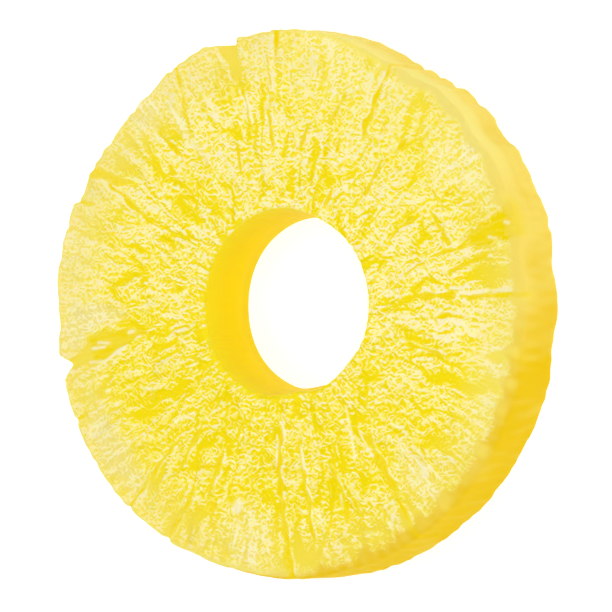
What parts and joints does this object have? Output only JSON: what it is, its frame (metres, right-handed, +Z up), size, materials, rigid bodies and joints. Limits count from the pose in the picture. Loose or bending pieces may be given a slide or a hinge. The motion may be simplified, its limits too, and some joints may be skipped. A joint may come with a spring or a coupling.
{
  "type": "pineapple ring",
  "caption": "Round slice of peeled and cored pineapple with a hole through its middle, lying flat, for dishes, cakes and drinks.",
  "frame": {"origin": "middle of the slice's outline, on the plane of the underside it lies on", "axes": "+Z up through the upper cut face, along the core hole"},
  "size_m": [0.0802, 0.0804, 0.0102],
  "materials": {
    "pineapple_flesh": "wet fruit flesh, ripe yellow"
  },
  "bodies": {
    "root": {"pineapple_ring": "pineapple_flesh"}
  },
  "joints": []
}
